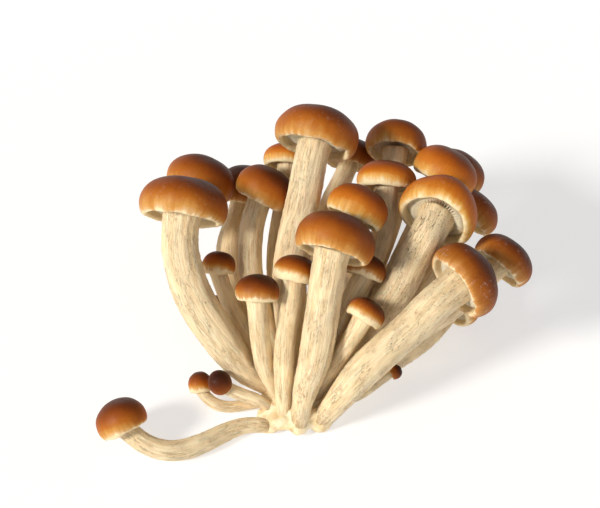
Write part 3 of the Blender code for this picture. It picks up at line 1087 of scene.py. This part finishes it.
    def _pleat(self, step: int, radius: float, inner: float, outer: float, turn: float,
               steps: int) -> tuple[float, float, float]:
        """Bends the ring's underside into blades with gaps between them.

        Args:
            step: Which of the ring's steps the point is on.
            radius: How far it is from the axis.
            inner: Where the blades start.
            outer: Where they end.
            turn: The point's angle.
            steps: How many steps the ring has.

        Returns:
            The new angle, the rise in metres, and how deep the point is between blades.
        """
        blade, phase = divmod(step, STEPS_PER_BLADE)
        out = (radius - inner) / (outer - inner)
        wave = noise.noise(Vector((blade * 0.37, out * 2.0, self.number * 5.1)))
        turn += FULL_TURN / steps * (wave * 1.1 + (0.0, 0.28, 0.0, -0.28)[phase])
        short = smooth_step(0.30, 0.50, out) if blade % 2 else 1.0
        taper = min(1.0, out * 8 + 0.2, (1 - out) * 8)
        ground = self.height * self.gill_depth * taper
        rise = ground if phase == 2 else ground * (1 - short) if phase == 0 else ground * 0.8
        return turn, rise, min(rise / (self.height * self.gill_depth), 1.0)


@dataclass
class FusedRoot:
    """The root that all the feet grow from: a lumpy mound with a flat cut underside.

    A bulb is how far up the foot it sits, in shares of climb, and its size in stem radii. A web place is
    how far up the two feet, and how far across from one to the other.
    """

    stems: Sequence[Stem]
    grid: float = 0.55 * MM
    mound_share: float = 1.04
    mound_rise: float = 2.2
    web_reach: float = 2.25
    web: float = 0.72
    climb: float = 3.2 * MM
    lumps: float = 0.26 * MM
    lump_size: float = 1.9 * MM
    grain_size: float = 0.8 * MM
    soil_line: tuple = (0.2 * MM, 2.6 * MM)
    near: float = 9.0 * MM
    smoothings: int = 3
    bulbs: tuple = ((-0.3, 1.07), (0.3, 1.03), (0.7, 0.92))
    web_places: tuple = ((0, 0.3), (0, 0.5), (0, 0.7), (0.4, 0.4), (0.4, 0.6))

    def build(self, finish: Material) -> None:
        """Models and dresses the root.

        Args:
            finish: Its material.
        """
        fused = self._fused(self._clump())
        for _ in range(self.smoothings):
            bmesh.ops.smooth_vert(fused, verts=fused.verts, factor=0.5, use_axis_x=True, use_axis_y=True,
                                  use_axis_z=True)
        fused.normal_update()
        low = fused.verts.layers.float.new("low")
        for corner in fused.verts:
            lump = noise.noise(corner.co / self.lump_size) + 0.5 * noise.noise(corner.co / self.grain_size)
            corner.co += corner.normal * self.lumps * lump
            corner.co = above_table(corner.co)
            corner[low] = 1 - smooth_step(*self.soil_line, corner.co.z)
        finish_piece("fused_root", fused, finish, ["root"])

    def _clump(self) -> Shape:
        """Gathers the mound, the webs and three bulbs round each foot that stands on it.

        Returns:
            The overlapping lumps.
        """
        low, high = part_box("root")
        middle, half = (low + high) / 2, (high - low) / 2
        shape = bmesh.new()
        stretch = Matrix.Diagonal((half.x * self.mound_share, half.y * self.mound_share,
                                   half.z * self.mound_rise, 1.0))
        place = Matrix.Translation((middle.x, middle.y, 0.0))
        bmesh.ops.create_icosphere(shape, subdivisions=4, radius=1.0, matrix=place @ stretch)
        self._webs(shape)
        for stem in self.stems:
            foot = stem.solid.centre(1)
            if (foot - middle).length > max(half) + self.near:
                continue
            way = (stem.solid.centre(2) - foot).normalized()
            for lift, share in self.bulbs:
                centre = foot + way * self.climb * lift
                bmesh.ops.create_icosphere(shape, subdivisions=3, radius=stem.solid.radius(1) * share,
                                           matrix=Matrix.Translation(centre))
        return shape

    def _webs(self, shape: Shape) -> None:
        """Fills the narrow gaps between neighbouring feet, which grew from one base.

        Args:
            shape: The lumps, which the webs are added to.
        """
        for k, stem in enumerate(self.stems):
            for other in self.stems[k + 1:]:
                first, second = stem.solid.centre(1), other.solid.centre(1)
                girth = stem.solid.radius(1) + other.solid.radius(1)
                if (first - second).length > girth * self.web_reach:
                    continue
                for climb, share in self.web_places:
                    low_end = first.lerp(stem.solid.centre(2), climb)
                    centre = low_end.lerp(second.lerp(other.solid.centre(2), climb), share)
                    radius = girth / 2 * self.web * (1 - climb / 2)
                    bmesh.ops.create_icosphere(shape, subdivisions=3, radius=radius,
                                               matrix=Matrix.Translation(centre))

    def _fused(self, shape: Shape) -> Shape:
        """Melts overlapping lumps into one skin and cuts it flat at the table.

        Args:
            shape: The lumps, which are freed.

        Returns:
            The one skin.
        """
        lumps = added("lumps", meshed("lumps", shape))
        melt = lumps.modifiers.new("melt", "REMESH")
        melt.mode = "VOXEL"
        melt.voxel_size = self.grid
        bpy.context.view_layer.update()
        melted = lumps.evaluated_get(bpy.context.evaluated_depsgraph_get())
        fused = bmesh.new()
        fused.from_mesh(melted.to_mesh())
        bpy.data.objects.remove(lumps)
        geometry = fused.verts[:] + fused.edges[:] + fused.faces[:]
        bmesh.ops.bisect_plane(fused, geom=geometry, plane_co=(0.0, 0.0, TABLE_CLEARANCE),
                               plane_no=(0.0, 0.0, -1.0), clear_outer=True)
        bmesh.ops.contextual_create(fused, geom=[e for e in fused.edges if e.is_boundary])
        bmesh.ops.triangulate(fused, faces=[f for f in fused.faces if len(f.verts) > 4])
        return fused


@dataclass
class Studio:
    """The floor, the lights and the camera, whose aim is in shares of the CAD box."""

    floor_reach: float = 8.0
    key_strength: float = 3.1
    key_spread: float = math.radians(13)
    key_from: tuple = (-0.68, -0.45, 0.58)
    fill_strength: float = 0.15
    fill_spread: float = math.radians(60)
    fill_from: tuple = (0.35, -0.55, 0.75)
    sky: float = 0.26
    horizon: float = 0.97
    haze: tuple = (0.12, 0.45)
    lens: float = 105.0
    distance: float = 0.525
    nearest: float = 0.01
    elevation: float = math.radians(45)
    aim: tuple = (0.461, 0.508, 0.511)

    def build(self) -> None:
        """Sets up the whole studio."""
        self._floor()
        self._distant_lamp("key", self.key_strength, self.key_spread, self.key_from, (1.0, 0.97, 0.92))
        self._distant_lamp("fill", self.fill_strength, self.fill_spread, self.fill_from, (0.95, 0.97, 1.0))
        self._sky()
        self._plain_colours()
        self._camera()

    def _floor(self) -> None:
        """Lays the floor."""
        shape = bmesh.new()
        bmesh.ops.create_circle(shape, cap_ends=True, radius=self.floor_reach, segments=64)
        mesh = meshed("floor", shape)
        mesh.materials.append(PaleFloor().build())
        added("floor", mesh)

    @staticmethod
    def _distant_lamp(name: str, strength: float, spread: float, place: tuple, colour: tuple) -> None:
        """Hangs one broad lamp, far enough off to light the whole floor evenly.

        Args:
            name: The lamp's name.
            strength: How bright it is.
            spread: How wide it looks from the cluster, which softens its shadows.
            place: The side it shines from.
            colour: Its colour.
        """
        lamp = bpy.data.lights.new(name, "SUN")
        lamp.energy = strength
        lamp.angle = spread
        lamp.color = colour
        added(name, lamp).rotation_euler = (-Vector(place)).to_track_quat("-Z", "Y").to_euler()

    def _sky(self) -> None:
        """Surrounds the scene with white light, brightest in a low band behind everything."""
        world = bpy.data.worlds.new("studio")
        world.use_nodes = True
        tree = world.node_tree
        direction = tree.nodes.new("ShaderNodeTexCoord")
        height = tree.nodes.new("ShaderNodeSeparateXYZ")
        strength = tree.nodes.new("ShaderNodeMapRange")
        strength.interpolation_type = "SMOOTHSTEP"
        for name, value in zip(("From Min", "From Max", "To Min", "To Max"),
                               (*self.haze, self.horizon, self.sky), strict=True):
            strength.inputs[name].default_value = value
        tree.links.new(direction.outputs["Generated"], height.inputs[0])
        tree.links.new(height.outputs["Z"], strength.inputs["Value"])
        tree.links.new(strength.outputs[0], tree.nodes["Background"].inputs["Strength"])
        tree.nodes["Background"].inputs["Color"].default_value = (1.0, 1.0, 1.0, 1.0)
        bpy.context.scene.world = world

    @staticmethod
    def _plain_colours() -> None:
        """Shows colours as they are, without a film curve over them."""
        bpy.context.scene.view_settings.view_transform = "Standard"

    def _camera(self) -> None:
        """Places the camera in front of the cluster, looking down on it."""
        data = bpy.data.cameras.new("camera")
        data.lens = self.lens
        data.sensor_width = SENSOR_WIDTH
        data.clip_start = self.nearest
        camera = added("camera", data)
        low, high = CAD_BOX
        aim = Vector(a + (b - a) * share for a, b, share in zip(low, high, self.aim, strict=True))
        back = Vector((0.0, -math.cos(self.elevation), math.sin(self.elevation)))
        camera.location = aim + back * self.distance
        camera.rotation_euler = (-back).to_track_quat("-Z", "Y").to_euler()
        bpy.context.scene.camera = camera


def grow(number: int, finishes: Finishes) -> Stem:
    """Builds one mushroom.

    Args:
        number: Which mushroom.
        finishes: The cluster's materials.

    Returns:
        Its stem, for the root to join.
    """
    habit = HABITS.get(number, Habit())
    cap_solid, stem_solid = RingedSolid(f"cap_{number:02d}"), RingedSolid(f"stem_{number:02d}")
    stem_solid.start_far_from(cap_solid.middle)
    cap_solid.start_far_from(stem_solid.rings[-1][0])
    stem = Stem(number, stem_solid, habit)
    stem.build(finishes.stem)
    Cap(number, cap_solid, stem_solid.radius(-2), habit).build(finishes)
    return stem


def main() -> None:
    """Builds the cluster piece by piece, then the studio round it."""
    logging.basicConfig(level=logging.INFO, format="%(name)s: %(message)s")
    finishes = Finishes(CapSkin().build(), StemFlesh().build(), GillFlesh().build(), RootFlesh().build())
    stems = [grow(number, finishes) for number in range(1, MUSHROOM_COUNT + 1)]
    FusedRoot(stems).build(finishes.root)
    Studio().build()


if __name__ == "__main__":
    main()
